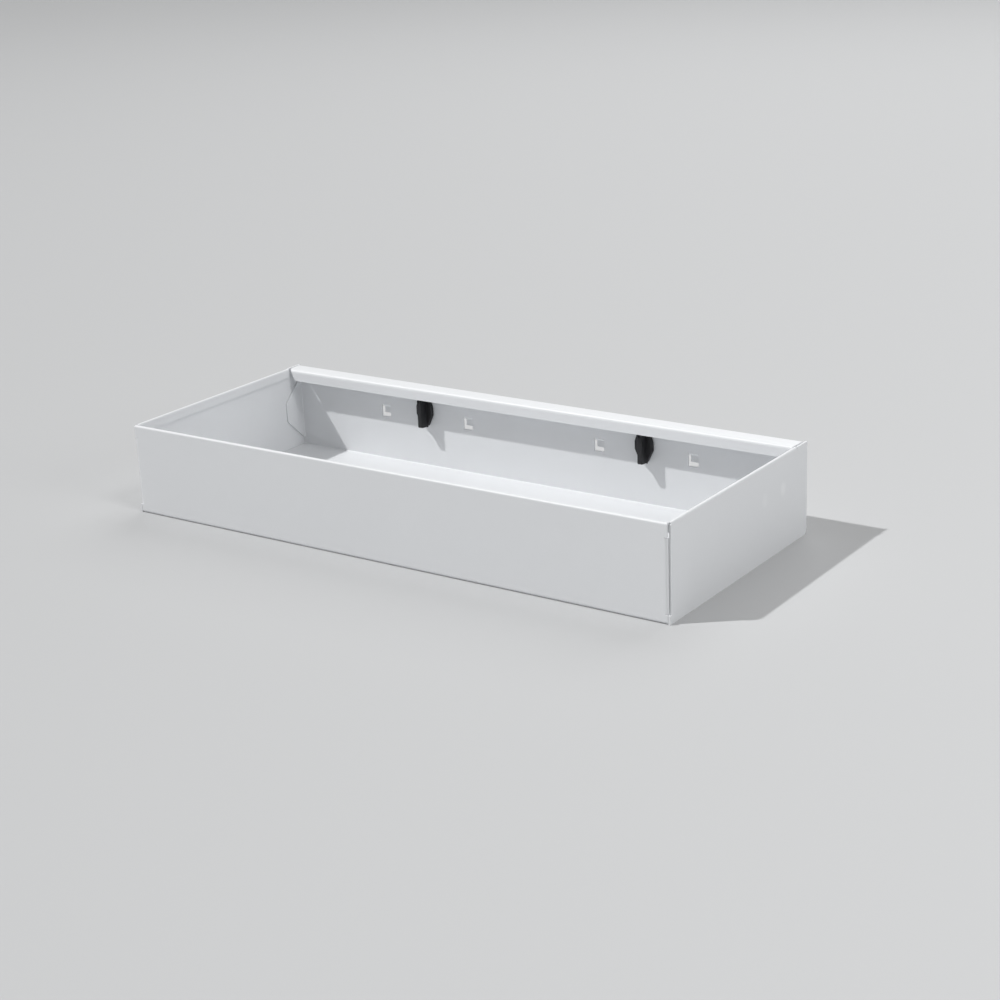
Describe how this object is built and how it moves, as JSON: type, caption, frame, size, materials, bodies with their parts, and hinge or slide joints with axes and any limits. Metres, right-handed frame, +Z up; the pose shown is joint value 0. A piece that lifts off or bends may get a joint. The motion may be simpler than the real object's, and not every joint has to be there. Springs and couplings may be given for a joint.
{
  "type": "pegboard tool holder",
  "caption": "Open tray of folded sheet steel that hooks into a board of square holes, with hemmed rims, a rear lip and black push-in clips that lock it on.",
  "frame": {"origin": "centre of the bounding box, on the underside of the floor", "axes": "+X to the right along the board, +Y into the board, +Z up"},
  "size_m": [0.437, 0.188, 0.065],
  "materials": {
    "powder_coat": "light grey satin powder coat on sheet steel",
    "black_plastic": "black moulded plastic, matt"
  },
  "bodies": {
    "tray": {"tray_pan": "powder_coat", "left_side_wall": "powder_coat", "right_side_wall": "powder_coat"},
    "left_clip": {"left_clip": "black_plastic"},
    "right_clip": {"right_clip": "black_plastic"}
  },
  "joints": [
    {"name": "left_clip_pull", "type": "slide", "parent": "tray", "child": "left_clip", "axis": [0, -1, 0], "range_m": [0, 0.0052]},
    {"name": "right_clip_pull", "type": "slide", "parent": "tray", "child": "right_clip", "axis": [0, -1, 0], "range_m": [0, 0.0052]}
  ]
}
